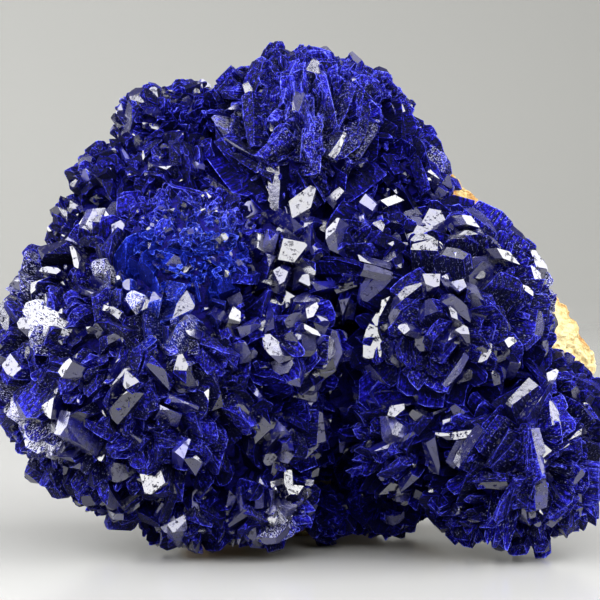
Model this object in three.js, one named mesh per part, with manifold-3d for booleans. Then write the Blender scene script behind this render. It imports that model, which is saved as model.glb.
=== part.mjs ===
// Azurite specimen: rosettes of blade crystals, grown into one mass on a lump of limonite.
//
// Millimetres, +Z up. The front of the specimen faces -Y, and +X is to its right.
// The origin is the centre of the specimen's bounding box, at the height of the surface it rests on.
// Each rosette is a ball of crystals around its own centre. A blade stands on the ball's core, broad
// faces along the blade, and ends in a chisel tip at the rosette's radius. The rosettes overlap, so all
// the azurite is one solid. The limonite behind them is a second solid, a hair's gap away.

import * as THREE from "three";
import { ConvexGeometry } from "three/addons/geometries/ConvexGeometry.js";
import { mergeVertices } from "three/addons/utils/BufferGeometryUtils.js";
import Module from "manifold-3d";

const wasm = await Module();
wasm.setup();

const SPECIMEN = { width: 68.6, depth: 41.7, height: 56 };
const SEED = 20;
const GAP = 0.5; // between the crystals and the rock, which are separate solids
const CORE_SHARE = 0.86; // a rosette's core, as a share of its radius
const BLADE_ROOT_SHARE = 0.55; // where a blade starts, inside the core
const BLADE_SPACING = 7.74; // from one blade to the next, along the rosette's surface
const BLADE_WIDTH = 6.2;
const BLADE_THICKNESS = 2.4;
const CHISEL_SLOPE = 1.1; // how far the chisel's faces run down the blade, per unit of its thickness
const TIP_JITTER = 0.06; // how far tips stand in or out, as a share of the radius
const BURIED_SHARE = 0.97; // a tip this deep inside another rosette is left out

// Rosettes: centre, radius, the axis its blades turn about, and how they lie on it.
// "petal" blades ring the axis, "fan" blades run along it, and "mixed" ones take any turn.
const ROSETTES = [
  { name: "top_dome", at: [0.5, 3.3, 41.8], radius: 14.9, axis: [0.05, -0.75, -0.65], lay: "fan" },
  { name: "right_ball", at: [15.5, -5, 26], radius: 13.2, axis: [-0.04, -1, -0.12], lay: "petal" },
  { name: "lower_right_ball", at: [22.4, -5.8, 11.8], radius: 12.3, axis: [0.29, -0.67, 0.68], lay: "fan" },
  { name: "left_ball", at: [-15, -1.2, 21.2], radius: 20.6, axis: [-0.2, -1, 0.2], lay: "mixed" },
  { name: "granular_ball", at: [-12.2, -7.4, 31.6], radius: 10, axis: [0, -1, 0.4], lay: "mixed" },
  { name: "centre_ball", at: [-2.1, -10, 24], radius: 7.8, axis: [0, -1, 0.1], lay: "petal" },
  { name: "centre_crown", at: [-1.6, -5.6, 31.4], radius: 9.2, axis: [0.1, -0.8, 0.5], lay: "mixed" },
  { name: "centre_belly", at: [-3.2, -8.6, 14.4], radius: 7, axis: [0.2, -1, -0.2], lay: "petal" },
  { name: "upper_centre_ball", at: [6.2, -6.2, 32.4], radius: 8.3, axis: [0.1, -0.5, -1], lay: "petal" },
  { name: "right_saddle", at: [9.9, -0.4, 39.9], radius: 7.6, axis: [1, -0.4, 0.6], lay: "petal" },
  { name: "upper_left_knob", at: [-15.9, 2.3, 46.2], radius: 5.9, axis: [0, 0, 1], lay: "mixed" },
  { name: "upper_left_peak", at: [-12.6, 2.9, 46.8], radius: 5.6, axis: [1, 0, 1], lay: "mixed" },
  { name: "left_shoulder", at: [-20.4, 1.3, 40], radius: 6.2, axis: [-1, 0, 0.5], lay: "mixed" },
  { name: "left_flank", at: [-23.2, 0.8, 35.6], radius: 5.3, axis: [-1, 0, 0.5], lay: "mixed" },
  { name: "right_crown", at: [18.6, 0, 34.4], radius: 4.1, axis: [0.5, 0, 1], lay: "mixed" },
  { name: "upper_left_fill", at: [-13.2, -0.7, 39], radius: 8.8, axis: [-0.3, -1, 0.5], lay: "mixed" },
  { name: "left_foot", at: [-11, -6.3, 6.9], radius: 7.3, axis: [0, -1, 0], lay: "mixed" },
  { name: "left_toe", at: [-14.4, -3.4, 4], radius: 4.3, axis: [0, -1, 0], lay: "mixed" },
  { name: "centre_foot", at: [-4.6, -7.4, 7.3], radius: 7, axis: [0.6, -1, -0.3], lay: "petal" },
  { name: "middle_toe", at: [3, -0.6, 4], radius: 4.3, axis: [0, -1, 0], lay: "mixed" },
  { name: "middle_foot", at: [9, 1.2, 6.7], radius: 6.7, axis: [0, -1, 0], lay: "petal" },
  { name: "heart", at: [-1, 2.5, 18.5], radius: 12.6, axis: [0, -1, 0], lay: "mixed" },
  { name: "right_heart", at: [12.6, -5.2, 14.6], radius: 9.8, axis: [0.6, -0.7, 0.5], lay: "fan" },
  { name: "right_side", at: [26.6, -1.7, 15], radius: 7.8, axis: [1, 0, 0], lay: "fan" },
];

// The rock is broken lumps: a centre and half-sizes each. The widest one gives it its flat base.
const ROCK_LUMPS = [
  { at: [-1.7, 12.6, 13], half: [15.5, 8.4, 15.5] },
  { at: [-13.2, 12.4, 24], half: [9.5, 7.8, 12] },
  { at: [12.3, 11.3, 16], half: [14.5, 8.5, 14] },
  { at: [22.6, 8.3, 19.4], half: [10.2, 7, 9.9] },
  { at: [10.8, 9.8, 35.4], half: [10.4, 6.5, 7.4] },
];
const ROCK_ROUGHNESS = 0.12; // how far a corner stands in or out, as a share of the lump's half-size
const ROCK_SEED = 7;

const COLOURS = {
  azurite: new THREE.MeshStandardMaterial({ color: 0x15148c, roughness: 0.35, metalness: 0 }),
  limonite: new THREE.MeshStandardMaterial({ color: 0xd8a84a, roughness: 0.95, metalness: 0 }),
};

// A small seeded generator, so that the part is the same on every build.
function seeded(seed) {
  let state = seed;
  return () => {
    state = (state + 0x6d2b79f5) | 0;
    let t = Math.imul(state ^ (state >>> 15), 1 | state);
    t = (t + Math.imul(t ^ (t >>> 7), 61 | t)) ^ t;
    return ((t ^ (t >>> 14)) >>> 0) / 4294967296;
  };
}
const random = seeded(SEED);
const between = (low, high) => low + (high - low) * random();

// A copy of a three.js geometry that holds positions only, so that its corners can be merged.
function bareGeometry(geometry) {
  const bare = geometry.clone();
  bare.deleteAttribute("normal");
  bare.deleteAttribute("uv");
  return bare;
}

// A closed three.js geometry as a manifold-3d solid.
function solidOf(geometry) {
  const merged = mergeVertices(bareGeometry(geometry), 1e-4);
  return new wasm.Manifold(
    new wasm.Mesh({
      numProp: 3,
      vertProperties: new Float32Array(merged.attributes.position.array),
      triVerts: new Uint32Array(merged.index.array),
    }),
  );
}

// A manifold-3d solid as a three.js geometry.
function geometryOf(solid) {
  const mesh = solid.getMesh();
  const made = new THREE.BufferGeometry();
  made.setAttribute("position", new THREE.BufferAttribute(new Float32Array(mesh.vertProperties), 3));
  made.setIndex(new THREE.BufferAttribute(new Uint32Array(mesh.triVerts), 1));
  made.computeVertexNormals();
  return made;
}

// Evenly spread directions on a sphere.
function sphereDirections(count) {
  const goldenTurn = Math.PI * (3 - Math.sqrt(5));
  return Array.from({ length: count }, (_, i) => {
    const z = 1 - (2 * (i + 0.5)) / count;
    const ring = Math.sqrt(1 - z * z);
    return new THREE.Vector3(ring * Math.cos(i * goldenTurn), ring * Math.sin(i * goldenTurn), z);
  });
}

// One blade in its own frame: X across its width, Y through its thickness, Z from root to tip.
// Two slanted faces meet in a chisel edge at the tip, and the sides draw in towards it.
function bladeGeometry({ width, thickness, root, tip }) {
  const shoulder = tip - CHISEL_SLOPE * between(0.8, 1.2) * thickness;
  const edge = between(0.2, 0.34) * width;
  const lean = between(-0.14, 0.14) * width;
  const corners = [];
  for (const side of [-1, 1]) {
    for (const face of [-1, 1]) {
      corners.push(new THREE.Vector3(side * 0.34 * width, face * 0.5 * thickness, root));
      corners.push(new THREE.Vector3(side * 0.5 * width, face * 0.42 * thickness, shoulder));
    }
    corners.push(new THREE.Vector3(side * edge + lean, 0, tip));
  }
  return new ConvexGeometry(corners);
}

// The way a blade's width runs at a given direction from the rosette's centre.
function widthDirection(rosette, outward) {
  const axis = new THREE.Vector3(...rosette.axis).normalize();
  const ring = new THREE.Vector3().crossVectors(axis, outward);
  if (ring.lengthSq() < 1e-4) ring.set(1, 0, 0).cross(outward);
  ring.normalize();
  const turn = {
    petal: between(-0.45, 0.45),
    fan: Math.PI / 2 + between(-0.35, 0.35),
    mixed: between(0, Math.PI),
  }[rosette.lay];
  return ring.applyAxisAngle(outward, turn);
}

function bladeSolid(rosette, outward) {
  const width = BLADE_WIDTH * between(0.85, 1.15);
  const thickness = BLADE_THICKNESS * between(0.8, 1.2);
  const tip = rosette.radius * (1 - TIP_JITTER * random());
  const root = rosette.radius * BLADE_ROOT_SHARE;
  const across = widthDirection(rosette, outward);
  const through = new THREE.Vector3().crossVectors(outward, across);
  const placed = new THREE.Matrix4().makeBasis(across, through, outward);
  placed.setPosition(...rosette.at);
  return solidOf(bladeGeometry({ width, thickness, root, tip }).applyMatrix4(placed));
}

function isBuried(point, own) {
  return ROSETTES.some(
    (other) =>
      other !== own && point.distanceTo(new THREE.Vector3(...other.at)) < BURIED_SHARE * other.radius,
  );
}

// A rosette's core and its exposed blades.
function rosetteSolids(rosette) {
  const core = new THREE.IcosahedronGeometry(rosette.radius * CORE_SHARE, 1).translate(...rosette.at);
  const solids = [solidOf(core)];
  const count = Math.round((4 * Math.PI * rosette.radius ** 2) / BLADE_SPACING ** 2);
  for (const outward of sphereDirections(count)) {
    const tip = outward.clone().multiplyScalar(rosette.radius).add(new THREE.Vector3(...rosette.at));
    if (!isBuried(tip, rosette)) solids.push(bladeSolid(rosette, outward));
  }
  return solids;
}

// A lump of rock: a rough, flattened ball. With a margin, it stands out by that much all round.
function lumpSolid({ at, half }, margin, roughness) {
  const lump = mergeVertices(bareGeometry(new THREE.IcosahedronGeometry(1, 2)), 1e-4);
  const corners = lump.attributes.position;
  for (let i = 0; i < corners.count; i++) {
    const outward = new THREE.Vector3().fromBufferAttribute(corners, i);
    const reach = 1 + ROCK_ROUGHNESS * (2 * roughness() - 1);
    const corner = outward.clone().multiply(new THREE.Vector3(...half)).multiplyScalar(reach);
    corner.addScaledVector(outward, margin).add(new THREE.Vector3(...at));
    corners.setXYZ(i, corner.x, corner.y, corner.z);
  }
  return solidOf(lump);
}

// The rock, or with a margin the room it needs.
function rockSolid(margin = 0) {
  const roughness = seeded(ROCK_SEED);
  return ROCK_LUMPS.map((lump) => lumpSolid(lump, margin, roughness)).reduce((all, lump) => all.add(lump));
}

function largestBody(solid) {
  return solid.decompose().reduce((best, body) => (body.volume() > best.volume() ? body : best));
}

// A block of free space, from one corner to the other.
function blockSolid(low, high) {
  const size = high.map((value, i) => value - low[i]);
  const middle = high.map((value, i) => (value + low[i]) / 2);
  return solidOf(new THREE.BoxGeometry(...size).translate(...middle));
}

// Cuts off what would reach below the surface that the specimen rests on, or past its stated size.
function trimmed(solid) {
  const reach = 200;
  const { width, depth, height } = SPECIMEN;
  const keep = blockSolid([-width / 2, -depth / 2, 0], [width / 2, depth / 2, height]);
  const room = blockSolid([-reach, -reach, -reach], [reach, reach, reach]);
  return solid.subtract(room.subtract(keep));
}

function namedMesh(name, solid, material) {
  const mesh = new THREE.Mesh(geometryOf(solid), material);
  mesh.name = name;
  return mesh;
}

const rock = trimmed(rockSolid());
const grown = ROSETTES.flatMap(rosetteSolids).reduce((all, solid) => all.add(solid));
const crystals = largestBody(trimmed(grown).subtract(rockSolid(GAP)));

const specimen = new THREE.Group();
specimen.add(namedMesh("azurite_crystals", crystals, COLOURS.azurite));
specimen.add(namedMesh("limonite_matrix", rock, COLOURS.limonite));

export default specimen;
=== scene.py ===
"""The azurite specimen: rosettes of blue blade crystals, grown over a lump of limonite.

Blender works in metres. The tables here are in millimetres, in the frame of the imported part: +Z up, the front
faces -Y, and the origin is under the middle of the specimen. Each rosette is a piece of its own: a core ball,
the blades that stand on it, and the small crystals between them, joined in one closed solid.
"""

import math

import bmesh
import bpy
import numpy as np
from mathutils import Matrix, Vector, noise


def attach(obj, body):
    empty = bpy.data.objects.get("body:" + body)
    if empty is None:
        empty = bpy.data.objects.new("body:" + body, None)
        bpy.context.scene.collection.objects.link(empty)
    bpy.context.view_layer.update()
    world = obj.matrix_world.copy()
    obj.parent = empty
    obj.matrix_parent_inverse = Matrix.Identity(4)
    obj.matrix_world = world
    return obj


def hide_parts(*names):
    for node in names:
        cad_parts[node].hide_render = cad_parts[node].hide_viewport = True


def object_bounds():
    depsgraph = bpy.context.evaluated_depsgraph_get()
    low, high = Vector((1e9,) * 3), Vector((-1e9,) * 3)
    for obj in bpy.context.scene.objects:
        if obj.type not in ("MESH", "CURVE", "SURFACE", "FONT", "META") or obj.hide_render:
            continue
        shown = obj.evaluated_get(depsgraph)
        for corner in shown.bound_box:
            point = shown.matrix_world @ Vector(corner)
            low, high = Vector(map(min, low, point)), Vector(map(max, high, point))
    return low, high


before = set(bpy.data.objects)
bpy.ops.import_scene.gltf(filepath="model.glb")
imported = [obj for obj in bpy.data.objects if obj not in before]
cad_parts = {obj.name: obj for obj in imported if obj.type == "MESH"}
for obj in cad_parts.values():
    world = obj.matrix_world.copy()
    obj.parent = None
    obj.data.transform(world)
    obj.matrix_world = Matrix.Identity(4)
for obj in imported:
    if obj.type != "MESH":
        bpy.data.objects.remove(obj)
CAD_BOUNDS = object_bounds()

MM = 0.001
SEED = 11

# Rosettes: centre and radius, the axis its blades turn about, and how they lie on it. "petal" blades ring the
# axis, "fan" blades run along it, and "mixed" ones wander. width, thick and spacing are those of its blades,
# layers is the most plates that lie on one another, relief is how far blades stand out of the core, chips is
# how many small crystals there are, gloss is the share of crystals that end in smooth facets, and lean is how
# far blades open outwards, in radians.
ROSETTES = [
    dict(name="top_dome", at=(0.5, 3.3, 41.8), radius=14.3, axis=(0.05, -0.75, -0.65), lay="fan",
         width=8.0, thick=1.15, spacing=2.1, layers=2, relief=3.2, chips=0.8, gloss=0.16, lean=0.5),
    dict(name="right_ball", at=(15.5, -5, 26), radius=13.2, axis=(-0.04, -1, -0.12), lay="petal",
         width=6.4, thick=1.3, spacing=3.0, layers=2, relief=4.0, chips=0.45, gloss=0.65, lean=0.55),
    dict(name="lower_right_ball", at=(22.4, -5.8, 11.8), radius=12.3, axis=(0.29, -0.67, 0.68), lay="fan",
         width=8.0, thick=1.2, spacing=2.7, layers=2, relief=3.8, chips=0.5, gloss=0.36, lean=0.55),
    dict(name="left_ball", at=(-15, -1.2, 21.2), radius=20, axis=(-0.2, -1, 0.2), lay="mixed",
         width=4.8, thick=1.8, spacing=3.0, layers=2, relief=3.4, chips=0.6, gloss=0.43, lean=0.35),
    dict(name="granular_ball", at=(-12.2, -7.4, 31.6), radius=10, axis=(0, -1, 0.4), lay="mixed",
         width=2.6, thick=1.0, spacing=2.6, layers=1, relief=1.4, chips=1.9, gloss=0.24, lean=0.2),
    dict(name="centre_ball", at=(-2.1, -10, 24), radius=7.8, axis=(0, -1, 0.1), lay="petal",
         width=4.8, thick=1.5, spacing=2.5, layers=1, relief=3.0, chips=0.4, gloss=0.95, lean=0.4),
    dict(name="centre_crown", at=(-1.6, -5.6, 31.4), radius=9.2, axis=(0.1, -0.8, 0.5), lay="mixed",
         width=5, thick=1.9, spacing=2.8, layers=1, relief=2.8, chips=0.4, gloss=1.0, lean=0.35),
    dict(name="centre_belly", at=(-3.2, -8.6, 14.4), radius=7, axis=(0.2, -1, -0.2), lay="petal",
         width=4.6, thick=1.3, spacing=2.6, layers=1, relief=2.8, chips=0.6, gloss=0.6, lean=0.4),
    dict(name="upper_centre_ball", at=(6.2, -6.2, 32.4), radius=8.3, axis=(0.1, -0.5, -1), lay="petal",
         width=6.0, thick=1.3, spacing=2.5, layers=2, relief=2.8, chips=0.5, gloss=0.5, lean=0.4),
    dict(name="right_saddle", at=(9.9, -0.4, 39.9), radius=7.6, axis=(1, -0.4, 0.6), lay="petal",
         width=5.0, thick=1.2, spacing=2.4, layers=2, relief=2.4, chips=0.8, gloss=0.35, lean=0.3),
    dict(name="upper_left_knob", at=(-15.9, 2.3, 46.2), radius=5.9, axis=(0, 0, 1), lay="mixed",
         width=3.8, thick=1.5, spacing=2.4, layers=2, relief=2.2, chips=0.8, gloss=0.5, lean=0.3),
    dict(name="upper_left_peak", at=(-12.6, 2.9, 46.8), radius=5.6, axis=(1, 0, 1), lay="mixed",
         width=3.8, thick=1.5, spacing=2.4, layers=2, relief=2.2, chips=0.8, gloss=0.5, lean=0.3),
    dict(name="left_shoulder", at=(-20.4, 1.3, 40), radius=6.2, axis=(-1, 0, 0.5), lay="mixed",
         width=3.6, thick=1.4, spacing=2.4, layers=2, relief=2.2, chips=0.8, gloss=0.4, lean=0.3),
    dict(name="left_flank", at=(-23.2, 0.8, 35.6), radius=5.3, axis=(-1, 0, 0.5), lay="mixed",
         width=3.6, thick=1.4, spacing=2.4, layers=2, relief=2.2, chips=0.8, gloss=0.6, lean=0.3),
    dict(name="right_crown", at=(18.6, 0, 34.4), radius=4.1, axis=(0.5, 0, 1), lay="mixed",
         width=3.8, thick=1.3, spacing=2.4, layers=2, relief=2, chips=0.8, gloss=0.5, lean=0.3),
    dict(name="upper_left_fill", at=(-13.2, -0.7, 39), radius=8.8, axis=(-0.3, -1, 0.5), lay="mixed",
         width=3.8, thick=1.3, spacing=2.6, layers=2, relief=2.4, chips=1.0, gloss=0.4, lean=0.3),
    dict(name="left_foot", at=(-11, -6.3, 6.9), radius=7.3, axis=(0, -1, 0), lay="mixed",
         width=3.8, thick=1.5, spacing=2.5, layers=2, relief=2.4, chips=0.9, gloss=0.6, lean=0.3),
    dict(name="left_toe", at=(-14.4, -3.4, 4), radius=4.3, axis=(0, -1, 0), lay="mixed",
         width=3.6, thick=1.4, spacing=2.4, layers=2, relief=2.2, chips=0.9, gloss=0.6, lean=0.3),
    dict(name="centre_foot", at=(-4.6, -7.4, 7.3), radius=7, axis=(0.6, -1, -0.3), lay="petal",
         width=4.6, thick=1.4, spacing=2.6, layers=2, relief=2.4, chips=0.7, gloss=0.7, lean=0.4),
    dict(name="middle_toe", at=(3, -0.6, 4), radius=4.3, axis=(0, -1, 0), lay="mixed",
         width=3.6, thick=1.4, spacing=2.4, layers=2, relief=2, chips=0.8, gloss=0.1, lean=0.3),
    dict(name="middle_foot", at=(9, 1.2, 6.7), radius=6.7, axis=(0, -1, 0), lay="petal",
         width=4.0, thick=1.4, spacing=2.6, layers=2, relief=2.4, chips=1.0, gloss=0.1, lean=0.3),
    dict(name="heart", at=(-1, 2.5, 18.5), radius=12.6, axis=(0, -1, 0), lay="mixed",
         width=3.6, thick=1.4, spacing=2.6, layers=2, relief=2.3, chips=1.0, gloss=0.4, lean=0.3),
    dict(name="right_heart", at=(12.6, -5.2, 14.6), radius=9.8, axis=(0.6, -0.7, 0.5), lay="fan",
         width=5.6, thick=1.4, spacing=2.7, layers=2, relief=3.0, chips=0.6, gloss=0.5, lean=0.4),
    dict(name="right_side", at=(26.6, -1.7, 15), radius=7.8, axis=(1, 0, 0), lay="fan",
         width=5.6, thick=1.2, spacing=2.6, layers=2, relief=2.6, chips=0.6, gloss=0.36, lean=0.4),
]
# The rock's lumps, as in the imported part: centre and half-sizes. Blades inside them are left out.
ROCK_LUMPS = [
    ((-1.7, 12.6, 13), (15.5, 8.4, 15.5)),
    ((-13.2, 12.4, 24), (9.5, 7.8, 12)),
    ((12.3, 11.3, 16), (14.5, 8.5, 14)),
    ((22.6, 8.3, 19.4), (10.2, 7, 9.9)),
    ((10.8, 9.8, 35.4), (10.4, 6.5, 7.4)),
]
ROCK_MARGIN = 0.93  # crystals with tips inside this share of a lump's half-sizes are left out
# Patches of another tint: centre, radius, and how strong they are as azure, as malachite green and as pale
# crust, which comes with more painted sparkle specks. They fade out at PATCH_RIM times the radius.
PATCH_RIM = 1.6
PATCHES = [
    ((-17, -16.5, 33), 3.2, (0.9, 0, 0.15)),
    ((-13.4, -18, 29.6), 3.6, (1.0, 0, 0.2)),
    ((-8.9, -16, 33.8), 3.4, (0.7, 0, 0.1)),
    ((-12, -15.5, 35), 5, (0.3, 0, 0.1)),
    ((24.6, -9.8, 26.4), 1.3, (0, 0.9, 0)),
    ((26.6, -7, 24.8), 1.3, (0.4, 0.6, 0.3)),
    ((2, -9, 46), 4.5, (0, 0, 0.18)),
    ((-30.2, -12.7, 26.8), 3.0, (0, 0, 1.0)),
    ((-31.5, -4.4, 30.6), 2.6, (0, 0, 0.8)),
    ((-31.8, -10, 16.3), 2.4, (0, 0, 0.9)),
    ((-28.1, -11.3, 11.5), 2.0, (0, 0, 0.9)),
    ((-20.7, -14.5, 33), 1.6, (0, 0, 0.7)),
    ((-17.9, -18.3, 30.3), 1.4, (0, 0, 0.7)),
    ((-11.8, -19.5, 25.1), 2.0, (0, 0, 0.4)),
    ((-13.6, -13.5, 4), 2.0, (0, 0, 0.6)),
    ((-1.9, -13.8, 8.5), 1.6, (0, 0, 0.7)),
    ((-1.2, -13.5, 3.7), 3.0, (0, 0, 0.8)),
    ((8.5, -8, 45.8), 1.8, (0, 0, 0.4)),
    ((-9.5, -5, 47.1), 1.5, (0, 0, 0.8)),
    ((4.2, -8.4, 48.7), 1.3, (0, 0, 0.5)),
    ((15.5, -2, 43.1), 1.8, (0, 0, 0.5)),
    ((26.5, -6, 29), 2.2, (0, 0, 0.5)),
    ((20.3, -1, 37.5), 1.6, (0, 0, 0.5)),
]
# Stout crystals cut off by one large smooth face: the rosette they stand on, how far right and how high the
# face is, and its length.
GLINTS = [
    ("centre_crown", (-0.4, 38.6), 4.4),
    ("centre_crown", (-3.4, 39.9), 2.8),
    ("centre_crown", (-5.4, 35), 4.0),
    ("centre_crown", (-0.9, 34.8), 3.4),
    ("centre_crown", (-2.2, 31.8), 3.0),
    ("centre_crown", (0.3, 31), 2.2),
    ("centre_ball", (1.2, 27.9), 2.6),
    ("centre_ball", (1.0, 25.9), 2.0),
    ("upper_centre_ball", (3.2, 39.4), 2.4),
    ("upper_centre_ball", (7.1, 39.4), 2.8),
    ("upper_centre_ball", (9.9, 39.2), 3.0),
    ("upper_centre_ball", (2.9, 36), 2.8),
    ("right_ball", (13.6, 31), 3.2),
    ("right_ball", (16.5, 30.8), 2.0),
    ("right_ball", (17.8, 37.2), 2.8),
    ("right_ball", (21.7, 33.6), 3.6),
    ("right_ball", (17, 25.8), 2.0),
    ("right_ball", (16, 27.5), 1.8),
    ("right_ball", (22, 24.7), 2.0),
    ("right_ball", (10.6, 26), 2.2),
    ("lower_right_ball", (26.5, 20.6), 2.2),
    ("right_heart", (9.9, 17.2), 2.6),
    ("right_heart", (8.9, 15.4), 2.6),
    ("left_ball", (-7, 27.7), 2.6),
    ("left_ball", (-24.2, 33.6), 2.8),
    ("left_ball", (-27, 32), 2.6),
    ("left_ball", (-25, 22.2), 2.6),
    ("left_ball", (-12.6, 22), 2.8),
    ("left_ball", (-27, 17.9), 3.0),
    ("left_ball", (-25.2, 16), 3.4),
    ("left_ball", (-12.6, 13.5), 2.2),
    ("left_foot", (-13.2, 4.6), 2.2),
    ("centre_foot", (-1.3, 9.4), 2.6),
]
# The ways those faces look: a viewer in front sees the front, the left or the right softbox in them.
GLINT_FACINGS = [(-0.01, -0.92, 0.38), (-0.59, -0.71, 0.38), (0.52, -0.75, 0.42)]
# Where crystals are painted darker, as painted shade: centre and radius.
SHADED_SPOTS = [((7, -2, 7), 10)]
# Material slots of a rosette: a blade's broad faces, its end facets, the core ball.
BROAD, FACET, CORE = 0, 1, 2

rng = np.random.default_rng(SEED)


def between(low, high):
    return low + (high - low) * rng.random()


# ---------------------------------------------------------------- crystals


def box_solid(x, y, z0, z1):
    """A box as a list of (kind, corners), corners anticlockwise from outside."""
    ring = [(-1, -1), (1, -1), (1, 1), (-1, 1)]
    c = [(sx * x, sy * y, z) for z in (z0, z1) for sx, sy in ring]
    faces = [(3, 2, 1, 0), (4, 5, 6, 7), (0, 1, 5, 4), (1, 2, 6, 5), (2, 3, 7, 6), (3, 0, 4, 7)]
    return [(BROAD, [c[i] for i in face]) for face in faces]


def cut(solid, normal, point, kind):
    """The part of a convex solid behind a plane. The new face gets that kind."""
    n = Vector(normal).normalized()
    offset = n.dot(Vector(point))
    kept, rim = [], {}
    for face_kind, corners in solid:
        heights = [n[0] * c[0] + n[1] * c[1] + n[2] * c[2] - offset for c in corners]
        if max(heights) <= 0:
            kept.append((face_kind, corners))
            continue
        if min(heights) >= 0:
            continue
        left = []
        for i, (c, h) in enumerate(zip(corners, heights)):
            c2, h2 = corners[i - 1], heights[i - 1]
            if (h2 < 0 < h) or (h < 0 < h2):
                (a, ha), (b, hb) = sorted(((c, h), (c2, h2)))
                t = ha / (ha - hb)
                p = (a[0] + (b[0] - a[0]) * t, a[1] + (b[1] - a[1]) * t, a[2] + (b[2] - a[2]) * t)
                left.append(p)
                rim[p] = True
            if h <= 0:
                left.append(c)
        kept.append((face_kind, left))
    if len(rim) > 2:
        points = list(rim)
        middle = sum((Vector(p) for p in points), Vector()) / len(points)
        u = n.orthogonal().normalized()
        v = n.cross(u)
        spokes = {p: Vector(p) - middle for p in points}
        points.sort(key=lambda p: math.atan2(spokes[p].dot(v), spokes[p].dot(u)))
        kept.append((kind, points))
    return kept


def as_arrays(solid):
    """A solid as its points, its faces' point numbers and its faces' kinds."""
    index, faces, kinds = {}, [], []
    for kind, corners in solid:
        faces.append([index.setdefault(c, len(index)) for c in corners])
        kinds.append(kind)
    return np.array(list(index)), faces, kinds


# How a blade's end is cut. A rise is how far up a face looks, in degrees.
ROOF_RISE = (28, 58)  # of the two faces that meet in the ridge
MIDDLE_RIDGES, SIDE_RIDGE = 0.4, 0.46  # the share of ridges near the middle, and where the others are
# The bevels at a blade's corners: least and greatest rise, and where they start, as shares of half its width.
FLAT_BEVEL = (48, 70, 0.05, 0.4)
STEEP_BEVEL = (20, 42, 0.45, 0.85)
ONE_BEVEL = 0.75  # how often a blunt blade has only one of them at a corner
SQUARE_RISE = 14  # how much more they rise on a blade with a straight edge
SMOOTH_BEVELS = 0.6  # the share of bevels that are smooth
BROKEN_TIPS = 0.3  # the share of blades whose tip is cut off


def blade_shape(aspect, root, point):
    """A chisel-tipped blade, one unit thick and aspect units wide, with its tip at 0 and its root below it.

    point is from -1, a long straight edge, to 1, a tip cut to a point."""
    half = aspect / 2
    solid = box_solid(half, 0.5, -root, 0.5)
    if rng.random() < MIDDLE_RIDGES:
        ridge = between(-0.3, 0.3)
    else:
        ridge = SIDE_RIDGE * (1 if rng.random() < 0.5 else -1)
    for side in (-1, 1):
        rise = math.radians(between(*ROOF_RISE))
        normal = (between(-0.2, 0.2), side * math.cos(rise), math.sin(rise))
        solid = cut(solid, normal, (0, ridge, 0), FACET)
    for side in (-1, 1):
        bevels = [FLAT_BEVEL, STEEP_BEVEL]
        if point < 0.5 and rng.random() < ONE_BEVEL:
            del bevels[int(rng.integers(2))]
        for bevel in bevels:
            least, greatest, inner, outer = bevel
            rise = math.radians(between(least, greatest) + SQUARE_RISE * max(0, -point))
            normal = (side * math.cos(rise), between(-0.45, 0.45), math.sin(rise))
            start = side * half * between(inner, outer)
            if bevel is FLAT_BEVEL:
                start *= 1 - 0.7 * point
            solid = cut(solid, normal, (start, ridge, 0), FACET if rng.random() < SMOOTH_BEVELS else BROAD)
    if rng.random() < BROKEN_TIPS:
        normal = (between(-0.8, 0.8), between(-0.6, 0.6), 1)
        solid = cut(solid, normal, (0, 0, -between(0.05, 0.25)), FACET)
    for side in (-1, 1):
        taper = between(0.05, 0.3) * max(0, point)
        normal = (side, between(-0.5, 0.5), taper)
        solid = cut(solid, normal, (side * between(0.7, 0.95) * half, 0, -1), BROAD)
        normal = (between(-0.1, 0.1), side, 0.5 * taper)
        solid = cut(solid, normal, (0, side * between(0.4, 0.5), -1), BROAD)
    return as_arrays(solid)


LONG_ROOT, SHORT_ROOT, STUMP_ROOT = 10, 8, 4  # how deep crystals reach below their tips, in thicknesses


def stump_shape():
    """A crystal about one unit across, cut off flat at 0, with a crooked outline and a narrow second face."""
    solid = box_solid(0.6, 0.6, -STUMP_ROOT, 0)
    sides = int(rng.integers(3, 6))
    start = between(0, math.tau)
    for side in range(sides):
        turn = start + math.tau * (side + between(-0.28, 0.28)) / sides
        out = Vector((math.cos(turn), math.sin(turn), 0))
        slant = between(-0.15, 0.3)
        solid = cut(solid, (out.x, out.y, slant), out * between(0.2, 0.5), FACET)
    turn = between(0, math.tau)
    out = Vector((math.cos(turn), math.sin(turn), 0))
    solid = cut(solid, (out.x, out.y, between(0.7, 1.6)), out * between(0.1, 0.3), FACET)
    return as_arrays(solid)


# Families of crystal shapes: wide plates, stout chunks, small chips, fins with a straight edge, and stumps.
PLATES = [blade_shape(between(3.4, 4.6), LONG_ROOT, 0.25) for _ in range(48)]
CHUNKS = [blade_shape(between(1.7, 3.0), SHORT_ROOT, 0.9) for _ in range(48)]
CHIPS = [blade_shape(between(1.3, 2.6), SHORT_ROOT, 0.8) for _ in range(24)]
FINS = [blade_shape(between(4.5, 6.5), LONG_ROOT, -1) for _ in range(48)]
STUMPS = [stump_shape() for _ in range(24)]
PLATE_ASPECT, CHUNK_ASPECT, FIN_ASPECT = 4.0, 2.35, 5.5  # width over thickness, on average


def tint_at(point):
    """How azure, how green and how pale a crystal is at a point of the specimen: pale brings crust and more
    painted sparkle.
    """
    tint = Vector((0, 0, 0))
    for at, radius, strength in PATCHES:
        near = 1 - (point - Vector(at)).length / (PATCH_RIM * radius)
        if near > 0:
            tint += Vector(strength) * min(1, 2 * near)
    return [min(1, value) for value in tint]


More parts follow.
